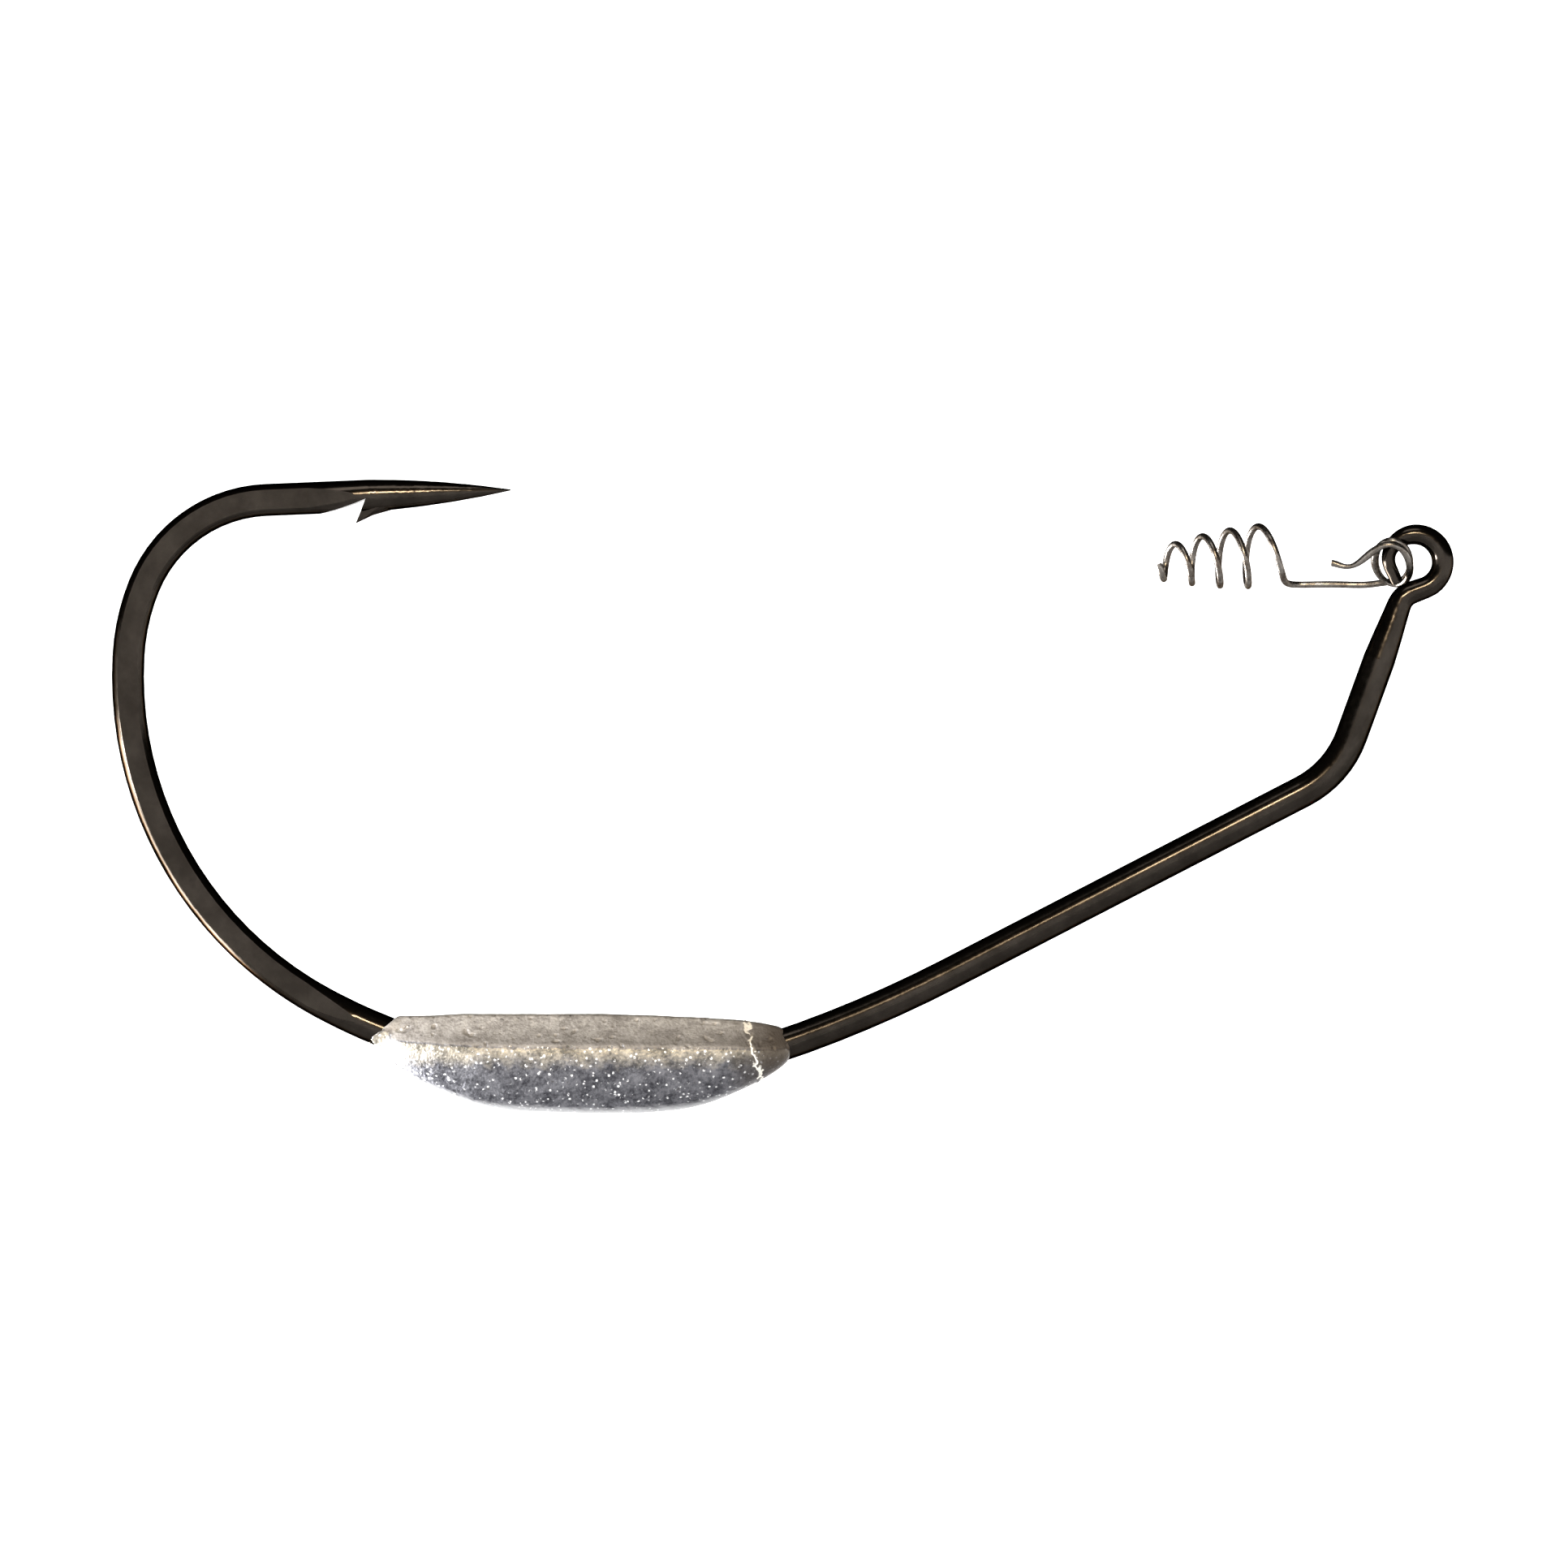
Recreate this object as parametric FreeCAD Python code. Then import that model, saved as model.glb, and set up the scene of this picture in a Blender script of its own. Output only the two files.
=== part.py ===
import FreeCAD
import Part
import math
import os

V = FreeCAD.Vector

# Belly-weighted wide-gap hook with a corkscrew bait keeper, in millimetres.
# Origin: centre of the hook's eye.  +X runs from the bend towards the eye,
# +Z is the point's side, and the hook lies in the plane Y = 0.

# ---- hook wire -------------------------------------------------------------
wire_d = 2.10            # shank wire
eye_wire_d = 1.42        # wire at the root and the far side of the eye

eye_r = 1.785            # eye, radius of the wire's centre line
eye_root_angle = -70.0   # where the neck joins the eye's circle
eye_turn = 220.0         # arc at the full radius
eye_close_r = 1.365      # tighter arc that closes the eye
eye_close_turn = 55.0
eye_close_len = 1.08     # straight end of the closing wire
eye_thinning = [(0.36, 1.42), (0.55, 1.30), (0.80, 0.90), (1.0, 0.79)]   # share of the eye, size

throat_len = 0.898       # short straight between the eye and the crook
crook_r = 1.365
crook_turn = 50.01
neck_len = 8.998         # straight neck, crook to first bend
taper_len = 3.76         # part of the neck that thins towards the eye
neck_thinning = [(0.30, 1.98), (0.92, 1.62)]        # share of that length, size
ring_gap = 0.42          # spacing of the round sections along the eye and neck

# offset neck, straight shank and the wide bend: (centre-line radius, turn)
neck_bend = (6.575, 42.70)
shank_len = 25.594
belly_bend = [(81.80, 7.34), (38.02, 48.29)]
wide_bend = [(24.02, 64.85), (14.155, 18.72), (8.894, 65.75)]
arm_len = 15.84          # last bend to the very point
point_len = 9.20         # ground taper
point_mid_d = 1.32       # diameter of the taper, 4.0 mm behind the point
point_mid_at = 4.04
point_end_d = 0.09

forged_half = 0.84       # half thickness across the forged bend
forged_from = -71.6      # flats are full depth to the left of this
forged_to = -68.2        # and have run out here
tool_left = -100.0       # the flattening tools pass the bend on every side
tool_low = -45.0
tool_height = 60.0

# ---- barb, measured back from the point and down from the arm's centre line --
barb_tip = (10.10, 1.76)
barb_shoulder = (8.95, 1.27)
barb_root = (7.75, 0.98)
barb_notch = (9.35, 0.20)
scoop_start = (12.60, 1.08)
scoop_mid = (10.75, 0.68)
scoop_floor = 2.4        # below the whole wire
barb_inside = [(7.20, 0.30), (8.90, -0.30)]         # corners buried in the arm
barb_plan = [(7.00, 0.81), (8.90, 0.62), (10.25, 0.10)]   # seen from below: place, half width
barb_reach = 0.90        # how far the barb's tools pass its faces
barb_keel_r = 0.72       # rounding of the barb's underside

# ---- cast lead weight: x, top, ridge, bottom, half width ---------------------
weight_sections = [
    (-66.70, -30.30, -30.84, -31.75, 0.95),
    (-65.90, -29.38, -30.86, -32.60, 1.62),
    (-64.80, -29.30, -30.90, -33.36, 2.05),
    (-62.40, -29.23, -31.04, -34.50, 2.65),
    (-59.50, -29.20, -31.12, -35.36, 3.05),
    (-55.40, -29.20, -31.16, -35.63, 3.28),
    (-49.60, -29.28, -31.18, -35.63, 3.28),
    (-45.70, -29.46, -31.24, -35.02, 2.95),
    (-42.90, -29.70, -31.34, -33.85, 2.46),
    (-41.40, -29.96, -31.38, -33.00, 2.00),
    (-40.60, -30.30, -31.36, -32.36, 1.52),
    (-40.28, -30.95, -31.38, -31.80, 0.70),
]
collar_at = V(-68.10, 0, -29.58)    # thin end of the lead, round the wire
collar_heading = -25.0
collar_r = (1.12, 1.42)
collar_len = 3.60
collar_lip = (V(-68.65, 0, -31.46), V(-65.10, 0, -28.73))   # its slanting end
collar_waste = V(-2.4, 0, 2.2)      # towards the side of the lip that is cut off
top_share = 0.36         # width of the flat top, of the full width
sole_share = 0.28        # width of the flat sole, of the full width

# ---- corkscrew keeper --------------------------------------------------------
keeper_d = 0.44
coil_turns = 4.25
coil_pitch = 1.81
coil_root_x = -9.09      # where the coil's first turn would start
coil_lead_out = 0.80     # stretch of the first turn where it meets the leg
coil_lead_turns = 0.2    # and how fast the stretch dies away
coil_root_r = 1.94
coil_nose_drop = 0.060   # loss of radius, times turns squared
coil_axis_z = 0.50
coil_fall = 0.152        # drop of the axis for each turn
coil_axis_y = 1.72
coil_yaw = 10.0
coil_steps = 66          # points along the coil
coil_start = 0.08        # first point, in turns, where the leg has bent into the coil
leg_z = -1.42
leg_points = (-7.7, -6.4, -4.6, -2.9)

link_centre = V(-1.458, 0.007, -0.082)
link_half_w = 1.09       # the link is an oval, seen along its own axis
link_half_h = 2.013
link_pitch = 0.485
link_yaw = -16.9
link_lean = 44.2
link_roll = -7.0
link_end = 560           # sweep of the link, in degrees
link_step = 20
link_start = 315         # sweep at which the link crosses its own centre plane
tail = [V(-3.00, -1.12, 0.62), V(-3.80, -0.90, -0.24), V(-4.30, -0.76, -0.47),
        V(-4.80, -0.66, -0.32), V(-5.44, -0.55, -0.07)]


def direction(heading):
    a = math.radians(heading)
    return V(math.cos(a), 0, math.sin(a))


def walk(start, heading, steps):
    """Edges of a tangent chain.  A step is (length,) or (radius, turn)."""
    edges = []
    here = start
    for step in steps:
        if len(step) == 1:
            there = here + direction(heading) * step[0]
            edges.append(Part.makeLine(here, there))
        else:
            radius, turn = step
            side = 90 if turn > 0 else -90
            centre = here + direction(heading + side) * radius
            mid = centre + direction(heading - side + turn / 2) * radius
            there = centre + direction(heading - side + turn) * radius
            edges.append(Part.Arc(here, mid, there).toShape())
            heading += turn
        here = there
    return edges, here, heading


def disc(centre, normal, diameter):
    return Part.Wire(Part.makeCircle(diameter / 2, centre, normal))


def between(x, table):
    """Straight-line interpolation in a short list of (x, value)."""
    for (x0, v0), (x1, v1) in zip(table, table[1:]):
        if x <= x1:
            return v0 + (v1 - v0) * (x - x0) / (x1 - x0)
    return table[-1][1]


def eye_root():
    return direction(eye_root_angle) * eye_r, eye_root_angle + 90


def neck_path():
    """From the eye's root down to where the wire has its full thickness."""
    start, heading = eye_root()
    return walk(start, heading + 180, [(throat_len,), (crook_r, crook_turn), (taper_len,)])


def tapered_eye():
    """Thinned neck, crook and open-ended eye, lofted through round sections."""
    start, heading = eye_root()
    eye_edges, end, end_heading = walk(start, heading, [
        (eye_r, eye_turn), (eye_close_r, eye_close_turn), (eye_close_len,)])
    neck_edges = neck_path()[0]
    eye_long = sum(e.Length for e in eye_edges)
    neck_long = sum(e.Length for e in neck_edges)
    # distance along the wire from the neck's foot, and the diameter there
    sizes = [(0, wire_d)]
    sizes += [(taper_len * share, size) for share, size in neck_thinning]
    sizes.append((neck_long, eye_wire_d))
    sizes += [(neck_long + eye_long * share, size) for share, size in eye_thinning]
    rings = []
    run = 0.0
    for edges, reverse in ((neck_edges, True), (eye_edges, False)):
        for edge in (reversed(edges) if reverse else edges):
            count = max(2, int(edge.Length / ring_gap))
            for i in range(count):
                part = (i / count) * edge.Length
                at = edge.Length - part if reverse else part
                t = edge.getParameterByLength(at)
                tangent = edge.tangentAt(t) * (-1 if reverse else 1)
                rings.append(disc(edge.valueAt(t), tangent, between(run + part, sizes)))
            run += edge.Length
    rings.append(disc(end, direction(end_heading), sizes[-1][1]))
    return Part.makeLoft(rings, True, False)


def main_wire():
    """Constant wire: lower neck, shank, wide bend and the start of the arm."""
    foot, heading = neck_path()[1:]
    steps = [(neck_len - taper_len,), (neck_bend[0], -neck_bend[1]), (shank_len,)]
    steps += [(r, -a) for r, a in belly_bend + wide_bend]
    steps.append((arm_len - point_len,))
    edges, end, end_heading = walk(foot, heading, steps)
    start = disc(foot, direction(heading), wire_d)
    solid = Part.Wire(edges).makePipeShell([start], True, False)
    return solid, end, end_heading


def point_frame(end, heading):
    """The very point, and unit vectors back along the arm and square to it."""
    tip = end + direction(heading) * point_len
    back = direction(heading + 180)
    down = direction(heading - 90)
    return tip, back, down


def ground_point(tip, back, down):
    """Needle point: an arc revolved about the arm's centre line."""
    def at(s, r):
        return tip + back * s + down * r
    nose = at(0, point_end_d / 2)
    rim = at(point_len, wire_d / 2)
    edges = [
        Part.makeLine(tip, nose),
        Part.Arc(nose, at(point_mid_at, point_mid_d / 2), rim).toShape(),
        Part.makeLine(rim, at(point_len, 0)),
        Part.makeLine(at(point_len, 0), tip),
    ]
    return Part.Face(Part.Wire(edges)).revolve(tip, back, 360)


def slab(outline, half):
    face = Part.Face(Part.makePolygon(outline + outline[:1]))
    face.translate(V(0, -half, 0))
    return face.extrude(V(0, 2 * half, 0))


def barb(tip, back, down):
    """Spur raised from the underside, keel shaped seen from below."""
    def at(p):
        return tip + back * p[0] + down * p[1]
    inside = [at(p) for p in barb_inside]
    side = slab([at(barb_tip), at(barb_shoulder), at(barb_root)] + inside + [at(barb_notch)],
                wire_d)
    wide = [at((s, -barb_reach)) + V(0, half, 0) for s, half in barb_plan]
    outline = wide + [V(p.x, -p.y, p.z) for p in reversed(wide)]
    plan = Part.Face(Part.makePolygon(outline + outline[:1])).extrude(down * 4 * barb_reach)
    forward = (at(barb_root) - at(barb_tip)).normalize()
    inward = forward.cross(V(0, 1, 0))
    if inward.dot(down) > 0:
        inward = inward * -1
    start = at(barb_tip) + inward * barb_keel_r - forward * barb_reach
    keel = Part.makeCylinder(barb_keel_r, 5 * barb_reach, start, forward)
    return side.common(plan).common(keel)


def scoop(tip, back, down):
    """Chisel cut behind the barb."""
    def at(p):
        return tip + back * p[0] + down * p[1]
    edges = [
        Part.Arc(at(scoop_start), at(scoop_mid), at(barb_notch)).toShape(),
        Part.makeLine(at(barb_notch), at(barb_tip)),
        Part.makeLine(at(barb_tip), at((barb_tip[0], scoop_floor))),
        Part.makeLine(at((barb_tip[0], scoop_floor)), at((scoop_start[0], scoop_floor))),
        Part.makeLine(at((scoop_start[0], scoop_floor)), at(scoop_start)),
    ]
    face = Part.Face(Part.Wire(edges))
    face.translate(V(0, -wire_d, 0))
    return face.extrude(V(0, 2 * wire_d, 0))


def forged_flats():
    """Two tools that flatten the sides of the wide bend and run out gently."""
    clear = wire_d / 2 + 0.02
    far = 2 * wire_d
    plan = [(tool_left, forged_half), (forged_from, forged_half), (forged_to, clear),
            (forged_to, far), (tool_left, far)]
    tools = []
    for side in (1, -1):
        outline = [V(x, side * y, tool_low) for x, y in plan]
        face = Part.Face(Part.makePolygon(outline + outline[:1]))
        tools.append(face.extrude(V(0, 0, tool_height)))
    return tools


def hook():
    wire, end, heading = main_wire()
    frame = point_frame(end, heading)
    body = wire.fuse([tapered_eye(), ground_point(*frame)])
    body = body.cut(scoop(*frame)).fuse(barb(*frame))
    for tool in forged_flats():
        body = body.cut(tool)
    return body


def weight_section(x, top, ridge, bottom, half):
    """Flat top, two sloping facets, a sharp ridge, round belly and flat sole."""
    crown = half * top_share
    sole = half * sole_share
    drop = ridge - bottom
    right = Part.BezierCurve()
    right.setPoles([V(x, half, ridge), V(x, half * 1.02, ridge - drop * 0.50),
                    V(x, half * 0.72, bottom + drop * 0.04), V(x, sole, bottom)])
    left = Part.BezierCurve()
    left.setPoles([V(p.x, -p.y, p.z) for p in reversed(right.getPoles())])
    edges = [
        Part.makeLine(V(x, -crown, top), V(x, crown, top)),
        Part.makeLine(V(x, crown, top), V(x, half, ridge)),
        right.toShape(),
        Part.makeLine(V(x, sole, bottom), V(x, -sole, bottom)),
        left.toShape(),
        Part.makeLine(V(x, -half, ridge), V(x, -crown, top)),
    ]
    return Part.Wire(edges)


def belly_weight(hook_solid):
    """Lead cast round the wire; the wire's own shape is cut out of it."""
    blank = Part.makeLoft([weight_section(*s) for s in weight_sections], True, False)
    collar = Part.makeCone(collar_r[0], collar_r[1], collar_len, collar_at,
                           direction(collar_heading))
    low, high = collar_lip
    collar = collar.cut(slab([low, high, high + collar_waste, low + collar_waste], 2 * collar_r[1]))
    return blank.fuse(collar).cut(hook_solid)


def link_point(phi):
    """Point on the oval link: 0 at its foot, 90 at its right, 180 at its top."""
    yaw, lean, roll = (math.radians(a) for a in (link_yaw, link_lean, link_roll))
    across = V(math.cos(yaw), math.sin(yaw), 0)
    rise = V(math.sin(yaw), -math.cos(yaw), 0) * math.sin(lean) + V(0, 0, math.cos(lean))
    normal = across.cross(rise)
    a = across * math.cos(roll) + rise * math.sin(roll)
    b = rise * math.cos(roll) - across * math.sin(roll)
    t = math.radians(phi)
    return (link_centre + a * (link_half_w * math.sin(t)) - b * (link_half_h * math.cos(t))
            + normal * (link_pitch * (phi - link_start) / 360))


def coil_point(turn):
    """Point on the corkscrew, 0 at its foot on the leg, rising on the near side."""
    yaw = math.radians(coil_yaw)
    angle = 2 * math.pi * turn
    radius = coil_root_r - coil_nose_drop * turn ** 2
    tilt = math.atan2(coil_fall, coil_pitch)
    x = coil_root_x - coil_pitch * turn + coil_lead_out * math.exp(-turn / coil_lead_turns)
    y = coil_axis_y - coil_pitch * turn * math.tan(yaw)
    z = coil_axis_z - coil_fall * turn
    up = -math.cos(angle)
    side = -math.sin(angle)
    return V(x - radius * (up * math.sin(tilt) + side * math.sin(yaw)),
             y + radius * side * math.cos(yaw), z + radius * up * math.cos(tilt))


def keeper_path():
    """Points of the wire, from the coil's free tip to the end of the tail."""
    points = []
    for i in range(coil_steps, -1, -1):
        points.append(coil_point(coil_start + (coil_turns - coil_start) * i / coil_steps))
    foot = link_point(0)
    for x in leg_points:
        share = (x - leg_points[0]) / (foot.x - leg_points[0])
        points.append(V(x, coil_axis_y + (foot.y - coil_axis_y) * share, leg_z))
    for phi in range(0, link_end + 1, link_step):
        points.append(link_point(phi))
    return points + tail


def screw_keeper():
    curve = Part.BSplineCurve()
    curve.interpolate(keeper_path())
    spine = Part.Wire(curve.toShape())
    start = disc(curve.value(curve.FirstParameter),
                 curve.tangent(curve.FirstParameter)[0], keeper_d)
    return spine.makePipeShell([start], True, False)


def main():
    os.makedirs("parts", exist_ok=True)
    hook_solid = hook()
    parts = {
        "hook": hook_solid,
        "belly_weight": belly_weight(hook_solid),
        "screw_keeper": screw_keeper(),
    }
    for name, shape in parts.items():
        shape.exportStep("parts/" + name + ".step")
        box = shape.BoundBox
        print(name, "valid", shape.isValid(), "solids", len(shape.Solids),
              "volume %.2f" % shape.Volume,
              "x %.2f..%.2f y %.2f..%.2f z %.2f..%.2f" % (
                  box.XMin, box.XMax, box.YMin, box.YMax, box.ZMin, box.ZMax))


main()
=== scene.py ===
import math

import bpy
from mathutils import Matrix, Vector, noise


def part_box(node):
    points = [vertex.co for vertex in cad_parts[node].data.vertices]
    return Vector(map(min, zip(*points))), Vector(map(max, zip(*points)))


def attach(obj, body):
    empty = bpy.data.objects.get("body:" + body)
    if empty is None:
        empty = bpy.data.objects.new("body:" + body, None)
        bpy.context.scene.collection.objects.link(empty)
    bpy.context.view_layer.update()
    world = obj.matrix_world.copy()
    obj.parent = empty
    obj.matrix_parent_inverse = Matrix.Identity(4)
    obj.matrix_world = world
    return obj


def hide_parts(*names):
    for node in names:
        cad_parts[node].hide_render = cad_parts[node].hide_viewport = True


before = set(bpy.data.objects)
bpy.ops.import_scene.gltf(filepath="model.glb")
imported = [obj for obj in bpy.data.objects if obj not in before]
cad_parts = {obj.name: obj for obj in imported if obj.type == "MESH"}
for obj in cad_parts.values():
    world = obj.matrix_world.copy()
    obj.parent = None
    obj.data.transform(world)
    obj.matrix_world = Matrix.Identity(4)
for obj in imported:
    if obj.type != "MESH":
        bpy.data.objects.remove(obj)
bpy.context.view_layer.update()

MM = 0.001

# The picture's framing at the hook's own plane, in metres.
VIEW_WIDTH = 0.10143
VIEW_CENTRE = Vector((-0.04083, 0.0, -0.01436))
LENS = 200.0             # millimetres
SENSOR = 36.0

# Where the casting's skin and its painted light and shade change, in millimetres of the part's
# frame.
EDGE_Z = (-29.95, -29.45)        # the pitted top edge
RIDGE_SHADE_Z = (-31.1, -29.9)         # painted shade on the upper facet, darkest at the ridge
HIGHLIGHT_BAND_Z = (-32.7, -31.6)        # painted highlight band under the ridge
NOSE_X = (-44.6, -41.6)          # browned nose
LAP_X = -42.63                   # crooked lap line across the nose
LAP_Z = -32.15
LAP_LEAN = 0.28                  # how far the line leans back for each unit of height
LAP_FROM_END = 2.35              # the same line, from the casting's end
LAP_FROM_SOLE = 3.5              # and from its underside

# The white sweep that stands round the part, in metres.
SWEEP_DEPTH = -0.45
SWEEP_RADIUS = 1.10
SWEEP_BEND = 0.25
SWEEP_TOP = 0.22
SWEEP_SIDES = 96
BEND_STEPS = 12


# ---- small helpers for node materials ------------------------------------------
class Nodes:
    """A material's node tree with one Principled shader."""

    def __init__(self, name):
        self.material = bpy.data.materials.new(name)
        self.material.use_nodes = True
        self.tree = self.material.node_tree
        self.shader = self.tree.nodes["Principled BSDF"]
        coords = self.add("ShaderNodeTexCoord")
        scale = self.add("ShaderNodeVectorMath", operation="SCALE")
        scale.inputs["Scale"].default_value = 1 / MM
        self.link(coords.outputs["Object"], scale.inputs[0])
        self.mm = scale.outputs[0]

    def add(self, kind, **settings):
        node = self.tree.nodes.new(kind)
        for key, value in settings.items():
            setattr(node, key, value)
        return node

    def link(self, source, target):
        self.tree.links.new(source, target)

    def set(self, **values):
        for name, value in values.items():
            self.shader.inputs[name.replace("_", " ")].default_value = value

    def stretched(self, factors):
        node = self.add("ShaderNodeVectorMath", operation="MULTIPLY")
        self.link(self.mm, node.inputs[0])
        node.inputs[1].default_value = factors
        return node.outputs[0]

    def noise(self, scale, detail=3.0, rough=0.55, vector=None):
        node = self.add("ShaderNodeTexNoise")
        node.inputs["Scale"].default_value = scale
        node.inputs["Detail"].default_value = detail
        node.inputs["Roughness"].default_value = rough
        self.link(self.mm if vector is None else vector, node.inputs["Vector"])
        return node.outputs["Fac"]

    def cells(self, scale):
        node = self.add("ShaderNodeTexVoronoi")
        node.inputs["Scale"].default_value = scale
        self.link(self.mm, node.inputs["Vector"])
        return node.outputs["Distance"]

    def spread(self, value, low, high, to_low=0.0, to_high=1.0):
        """A value mapped from low..high to another range, and held at its ends."""
        node = self.add("ShaderNodeMapRange")
        self.link(value, node.inputs["Value"])
        for key, number in zip(("From Min", "From Max", "To Min", "To Max"),
                               (low, high, to_low, to_high)):
            node.inputs[key].default_value = number
        return node.outputs["Result"]

    def math(self, operation, a, b):
        node = self.add("ShaderNodeMath", operation=operation)
        for socket, value in zip(node.inputs, (a, b)):
            if isinstance(value, (int, float)):
                socket.default_value = value
            else:
                self.link(value, socket)
        return node.outputs[0]

    def mix(self, factor, a, b):
        node = self.add("ShaderNodeMix", data_type="RGBA")
        sockets = (node.inputs[0], node.inputs[6], node.inputs[7])
        for socket, value in zip(sockets, (factor, a, b)):
            if isinstance(value, tuple):
                socket.default_value = (*value, 1.0)
            elif isinstance(value, (int, float)):
                socket.default_value = value
            else:
                self.link(value, socket)
        return node.outputs[2]

    def normal_axis(self, axis):
        """How far the surface faces along one axis, -1 to 1."""
        geometry = self.add("ShaderNodeNewGeometry")
        split = self.add("ShaderNodeSeparateXYZ")
        self.link(geometry.outputs["Normal"], split.inputs[0])
        return split.outputs[axis]

    def place(self, axis):
        """Place along one axis, in millimetres."""
        split = self.add("ShaderNodeSeparateXYZ")
        self.link(self.mm, split.inputs[0])
        return split.outputs[axis]

    def bump(self, height, strength, distance, after=None):
        node = self.add("ShaderNodeBump")
        node.inputs["Strength"].default_value = strength
        node.inputs["Distance"].default_value = distance
        self.link(height, node.inputs["Height"])
        if after is not None:
            self.link(after, node.inputs["Normal"])
        self.link(node.outputs["Normal"], self.shader.inputs["Normal"])
        return node.outputs["Normal"]

    def drive(self, name, value):
        self.link(value, self.shader.inputs[name])


# ---- materials -----------------------------------------------------------------
def black_nickel():
    """Dark plated steel: warm brown cast, faint mottling, fine draw marks and specks."""
    m = Nodes("black_nickel")
    m.set(Metallic=1.0, Specular_Tint=(0.10, 0.09, 0.08, 1))
    cloud = m.noise(0.55, 4.0)
    streak = m.noise(2.6, 3.0, vector=m.stretched((0.35, 1.6, 0.35)))
    tone = m.mix(m.spread(cloud, 0.35, 0.68), (0.020, 0.0168, 0.0138), (0.032, 0.027, 0.0225))
    tone = m.mix(m.spread(streak, 0.55, 0.80, 0.0, 0.45), tone, (0.014, 0.012, 0.010))
    specks = m.spread(m.cells(2.4), 0.05, 0.0, 0.0, 0.35)
    tone = m.mix(specks, tone, (0.12, 0.10, 0.075))
    m.drive("Base Color", tone)
    m.drive("Roughness", m.spread(m.noise(3.5, 4.0), 0.3, 0.7, 0.13, 0.21))
    fine = m.bump(m.noise(9.0, 4.0, 0.65), 0.06, 0.01 * MM)
    m.bump(m.noise(1.4, 2.0), 0.12, 0.03 * MM, after=fine)
    return m.material


def keeper_wire():
    """Dulled stainless wire, a little brown in patches."""
    m = Nodes("keeper_wire")
    m.set(Metallic=1.0, Specular_Tint=(0.25, 0.23, 0.21, 1))
    stain = m.spread(m.noise(1.6, 3.0), 0.42, 0.66)
    tone = m.mix(stain, (0.17, 0.155, 0.14), (0.085, 0.07, 0.058))
    m.drive("Base Color", tone)
    m.drive("Roughness", m.spread(m.noise(6.0, 3.0), 0.3, 0.7, 0.20, 0.36))
    m.bump(m.noise(14.0, 3.0), 0.12, 0.02 * MM)
    return m.material


def lead_belly(m, facing, mottled, fine):
    """Dark grey below the ridge, with a painted highlight band just under it, painted sparkles
    and painted light that makes the downward faces pale.
    """
    body = m.mix(m.spread(mottled, 0.40, 0.60), (0.036, 0.036, 0.043), (0.15, 0.15, 0.165))
    # painted highlight: a warm bright tone for the band just under the ridge
    band_highlight = m.mix(m.spread(mottled, 0.40, 0.60), (0.12, 0.11, 0.092), (0.38, 0.345, 0.285))
    height = m.math("ADD", m.place("Z"), m.spread(m.noise(1.2, 3.0), 0.3, 0.7, -0.35, 0.35))
    # mask of the painted highlight band, by height and by which way the surface faces
    band = m.math("MULTIPLY", m.spread(height, *HIGHLIGHT_BAND_Z), m.spread(facing, 0.12, 0.02))
    tone = m.mix(band, body, band_highlight)
    # painted light: faces turned downwards are painted pale
    tone = m.mix(m.spread(facing, -0.74, -0.90), tone, (0.42, 0.42, 0.43))
    # painted glints: small near-white sparkles scattered over the belly
    grains = m.spread(m.cells(2.7), 0.30, 0.14)
    painted_sparkles = m.math("MULTIPLY", grains, m.spread(fine, 0.47, 0.54))
    return m.mix(painted_sparkles, tone, (0.92, 0.92, 0.93))


def lead_oxide_and_ridge_shade(m, mottled):
    """Dull oxide of the upper facets, with painted shade darkening it towards the ridge."""
    oxide = m.mix(m.spread(mottled, 0.38, 0.62), (0.22, 0.205, 0.195), (0.50, 0.48, 0.465))
    # painted shade: the upper facet is darkened towards the ridge
    ridge_shade = m.spread(m.place("Z"), *RIDGE_SHADE_Z, 0.65, 0.0)
    return m.mix(ridge_shade, oxide, (0.11, 0.10, 0.092))


def lead_pits(m, blotch, fine):
    """Small pits, crowded along the top edge and in a few patches."""
    pits = m.math("MULTIPLY", m.spread(m.cells(1.6), 0.32, 0.14), m.spread(fine, 0.47, 0.54))
    edge = m.spread(m.place("Z"), *EDGE_Z)
    patches = m.spread(blotch, 0.56, 0.66)
    return m.math("MULTIPLY", pits, m.math("MAXIMUM", edge, patches))


def lead_lap(m):
    """Thin pale line where the metal lapped over itself near the nose."""
    lean = m.math("MULTIPLY", m.math("ADD", m.place("Z"), -LAP_Z), -LAP_LEAN)
    wander = m.spread(m.noise(1.5, 2.0), 0.3, 0.7, -0.25, 0.25)
    course = m.math("ADD", lean, wander)
    aside = m.math("SUBTRACT", m.math("ADD", m.place("X"), -LAP_X), course)
    return m.spread(m.math("ABSOLUTE", aside, 0.0), 0.13, 0.05)


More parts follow.
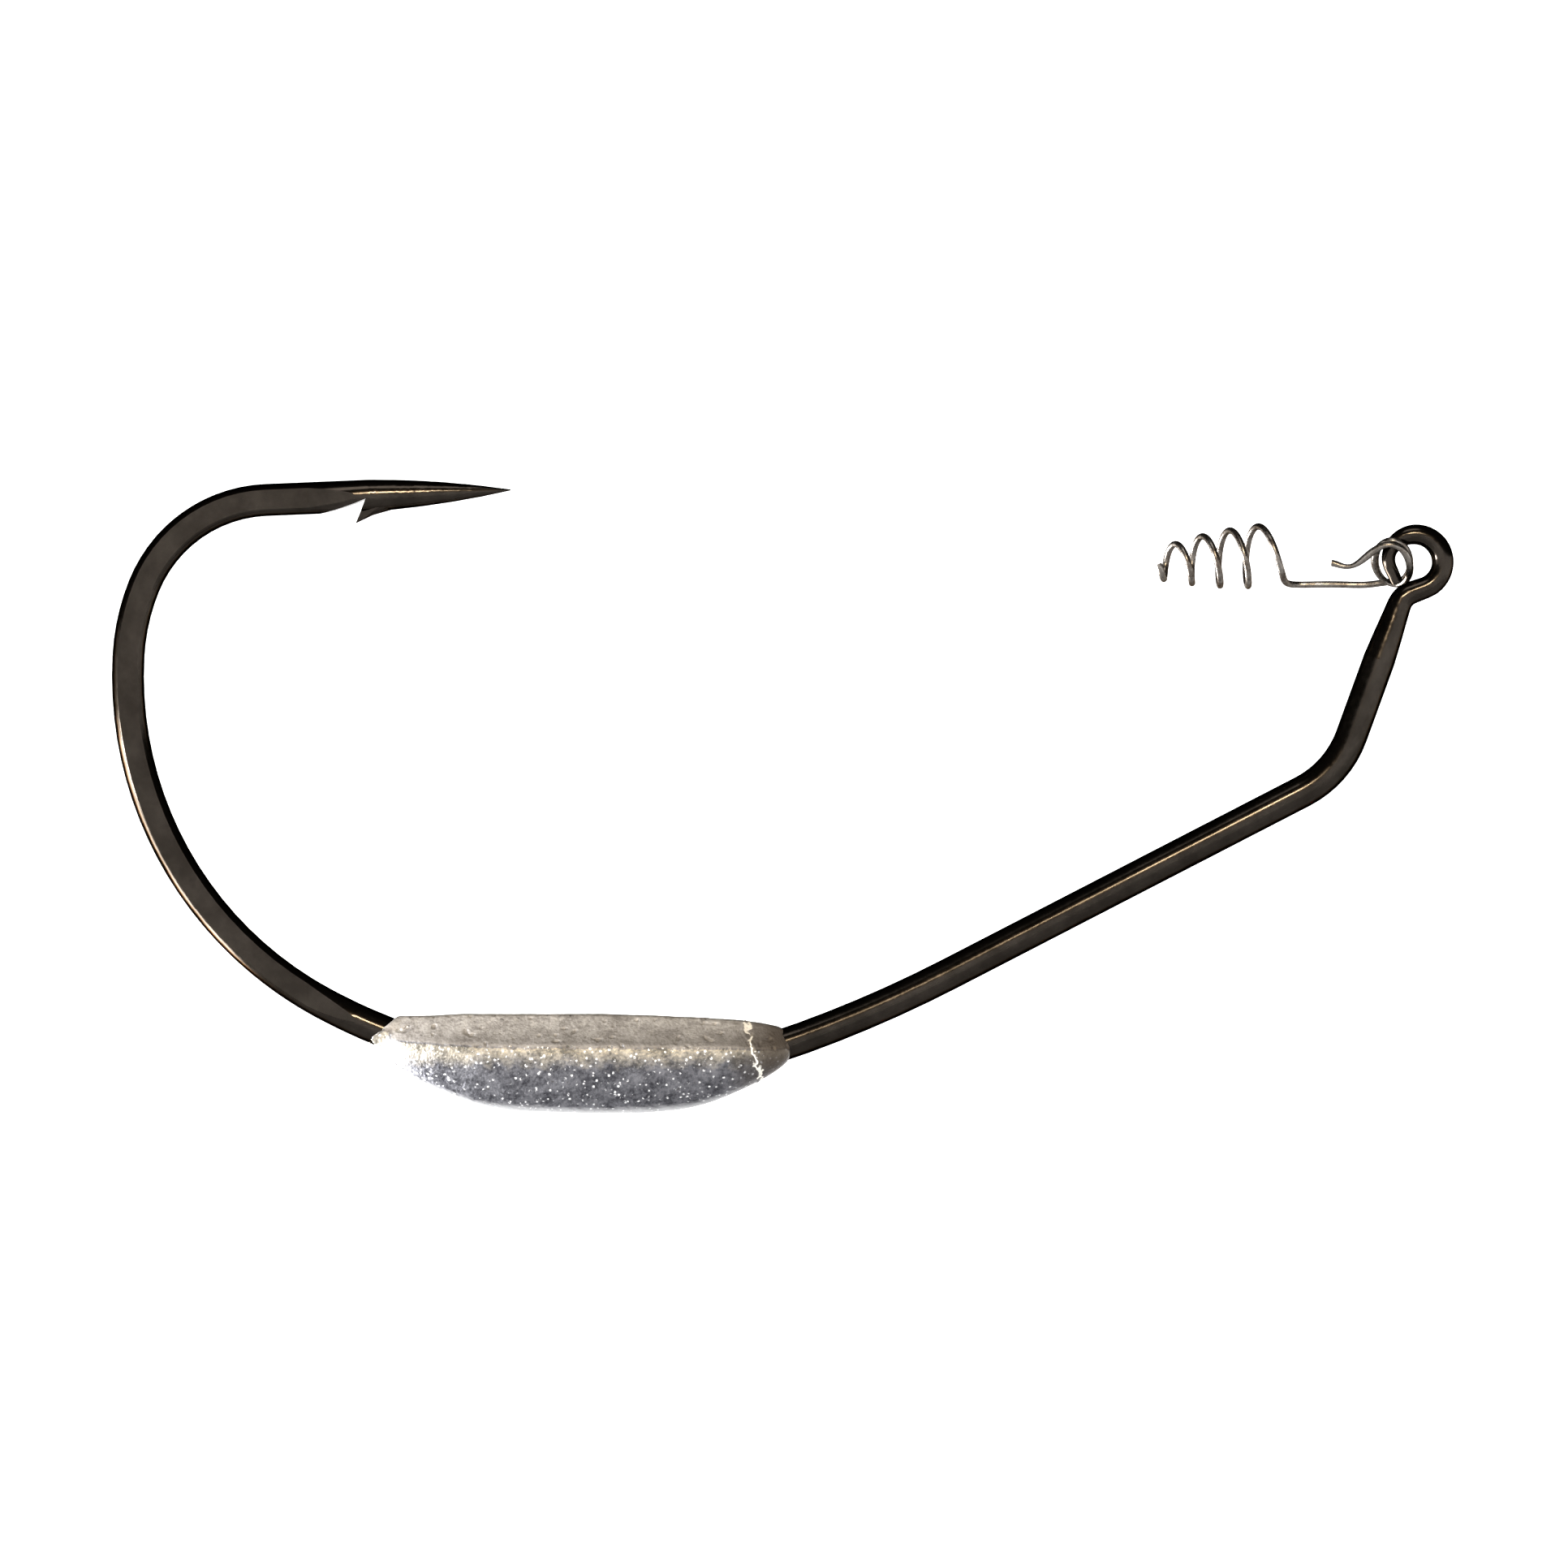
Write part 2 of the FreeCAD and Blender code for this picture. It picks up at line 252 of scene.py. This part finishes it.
def cast_lead():
    """Raw lead, mottled and crystalline, with painted sparkles, painted highlight and shade,
    oxide, pits, a brown nose and a lap line.
    """
    m = Nodes("cast_lead")
    facing = m.normal_axis("Z")
    up = m.spread(facing, 0.08, 0.36)
    blotch = m.noise(0.9, 5.0, 0.6)
    fine = m.noise(4.5, 5.0, 0.65)
    mottled = m.math("ADD", m.math("MULTIPLY", blotch, 0.55), m.math("MULTIPLY", fine, 0.45))
    tone = m.mix(up, lead_belly(m, facing, mottled, fine), lead_oxide_and_ridge_shade(m, mottled))
    nose = m.spread(m.place("X"), *NOSE_X, 0.0, 0.88)
    tone = m.mix(nose, tone, (0.055, 0.042, 0.031))
    tone = m.mix(lead_pits(m, blotch, fine), tone, (0.05, 0.045, 0.045))
    tone = m.mix(lead_lap(m), tone, (0.90, 0.86, 0.78))
    m.drive("Base Color", tone)
    m.drive("Metallic", m.spread(up, 0.0, 1.0, 0.85, 0.35))
    rough = m.math("ADD", m.spread(fine, 0.3, 0.7, 0.30, 0.50), m.math("MULTIPLY", up, 0.16))
    m.drive("Roughness", rough)
    grains = m.bump(m.cells(5.5), 0.35, 0.05 * MM)
    m.bump(m.noise(7.0, 5.0, 0.7), 0.35, 0.05 * MM, after=grains)
    return m.material


def paint(obj, material):
    obj.data.materials.clear()
    obj.data.materials.append(material)


# ---- pieces --------------------------------------------------------------------
def cast_weight(node, material):
    """The casting, remeshed so that its ridge is soft, then given a cast skin."""
    piece = bpy.data.objects.new("lead_casting", node.data.copy())
    bpy.context.scene.collection.objects.link(piece)
    remesh = piece.modifiers.new("even_skin", "REMESH")
    remesh.mode = "VOXEL"
    remesh.voxel_size = 0.09 * MM
    soften = piece.modifiers.new("soft_edges", "SMOOTH")
    soften.factor = 0.5
    soften.iterations = 34
    ready = piece.evaluated_get(bpy.context.evaluated_depsgraph_get())
    mesh = bpy.data.meshes.new_from_object(ready)
    piece.modifiers.clear()
    piece.data = mesh
    low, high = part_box(node.name)
    places = [vertex.co.copy() for vertex in mesh.vertices]
    normals = [vertex.normal.copy() for vertex in mesh.vertices]
    skin = []
    for place, normal in zip(places, normals):
        skin.extend(place + normal * cast_relief(place / MM, normal, low / MM, high / MM))
    mesh.vertices.foreach_set("co", skin)
    mesh.polygons.foreach_set("use_smooth", [True] * len(mesh.polygons))
    mesh.update()
    paint(piece, material)
    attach(piece, "hook")
    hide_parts(node.name)
    return piece


def cast_relief(p, normal, low, high):
    """Height of the cast skin at p (mm), always inwards of the drawn shape."""
    waves = noise.noise(p * 0.45) * 0.030 + noise.noise(p * 1.3 + Vector((7, 0, 0))) * 0.016
    grain = noise.noise(p * 4.2 + Vector((0, 3, 0))) * 0.010
    height = waves + grain - 0.045
    pit = noise.noise(p * 1.9 + Vector((1, 9, 4)))
    if normal.z > 0.15 and pit > 0.42:
        height -= min(0.10, (pit - 0.42) * 0.8)
    if p.y < 0:
        course = math.sin(p.z * 1.9 + p.y * 0.4) - (p.z - low.z - LAP_FROM_SOLE)
        aside = p.x - (high.x - LAP_FROM_END + LAP_LEAN * course)
        height += 0.055 * math.exp(-(aside / 0.085) ** 2)
    return height * MM


# ---- stage ---------------------------------------------------------------------
def plain_white(name, glow):
    material = bpy.data.materials.new(name)
    material.use_nodes = True
    shader = material.node_tree.nodes["Principled BSDF"]
    shader.inputs["Base Color"].default_value = (0.92, 0.92, 0.92, 1)
    shader.inputs["Roughness"].default_value = 0.9
    shader.inputs["Emission Color"].default_value = (1, 1, 1, 1)
    shader.inputs["Emission Strength"].default_value = glow
    return material


def sweep_floor():
    """Round white sweep: flat floor that curves up into a low wall on every side."""
    profile = [(SWEEP_RADIUS, SWEEP_DEPTH)]
    for i in range(1, BEND_STEPS + 1):
        turn = math.radians(90 * i / BEND_STEPS)
        profile.append((SWEEP_RADIUS + SWEEP_BEND * math.sin(turn),
                        SWEEP_DEPTH + SWEEP_BEND * (1 - math.cos(turn))))
    profile.append((SWEEP_RADIUS + SWEEP_BEND, SWEEP_TOP))
    verts = []
    for radius, height in profile:
        for k in range(SWEEP_SIDES):
            a = 2 * math.pi * k / SWEEP_SIDES
            verts.append((VIEW_CENTRE.x + radius * math.cos(a), radius * math.sin(a), height))
    faces = [tuple(range(SWEEP_SIDES))]
    for ring in range(len(profile) - 1):
        for k in range(SWEEP_SIDES):
            here = ring * SWEEP_SIDES + k
            beside = ring * SWEEP_SIDES + (k + 1) % SWEEP_SIDES
            faces.append((here, beside, beside + SWEEP_SIDES, here + SWEEP_SIDES))
    mesh = bpy.data.meshes.new("white_sweep")
    mesh.from_pydata(verts, [], faces)
    for polygon in mesh.polygons:
        polygon.use_smooth = True
    floor = bpy.data.objects.new("white_sweep", mesh)
    bpy.context.scene.collection.objects.link(floor)
    paint(floor, plain_white("white_paper", 1.0))


def area_light(name, offset, size, watts, colour=(1, 1, 1)):
    data = bpy.data.lights.new(name, "AREA")
    data.shape = "RECTANGLE"
    data.size, data.size_y = size
    data.energy = watts
    data.color = colour
    light = bpy.data.objects.new(name, data)
    light.location = VIEW_CENTRE + Vector(offset)
    light.rotation_mode = "QUATERNION"
    light.rotation_quaternion = (-Vector(offset)).to_track_quat("-Z", "Y")
    bpy.context.scene.collection.objects.link(light)


def studio():
    world = bpy.data.worlds.new("studio")
    bpy.context.scene.world = world
    world.use_nodes = True
    background = world.node_tree.nodes["Background"]
    background.inputs["Color"].default_value = (1.0, 0.97, 0.93, 1)
    background.inputs["Strength"].default_value = 0.06
    area_light("left_key", (-0.36, -0.10, -0.07), (0.16, 0.07), 5.0)
    area_light("left_rim", (-0.125, 0.040, -0.050), (0.09, 0.09), 1.5)
    area_light("high_fill", (-0.05, -0.30, 0.55), (0.30, 0.20), 0.8, (1.0, 0.97, 0.93))
    area_light("warm_strip", (0.0, -0.50, 0.20), (0.12, 0.02), 2.4, (1.0, 0.84, 0.60))
    bpy.context.scene.view_settings.view_transform = "Standard"


def camera():
    data = bpy.data.cameras.new("camera")
    data.lens = LENS
    data.sensor_width = SENSOR
    data.clip_start, data.clip_end = 0.01, 10
    cam = bpy.data.objects.new("camera", data)
    distance = VIEW_WIDTH / SENSOR * LENS
    cam.location = VIEW_CENTRE + Vector((0, -distance, 0))
    cam.rotation_euler = (math.radians(90), 0, 0)
    bpy.context.scene.collection.objects.link(cam)
    bpy.context.scene.camera = cam


def main():
    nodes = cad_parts
    paint(nodes["hook"], black_nickel())
    paint(nodes["screw_keeper"], keeper_wire())
    cast_weight(nodes["belly_weight"], cast_lead())
    sweep_floor()
    studio()
    camera()


main()
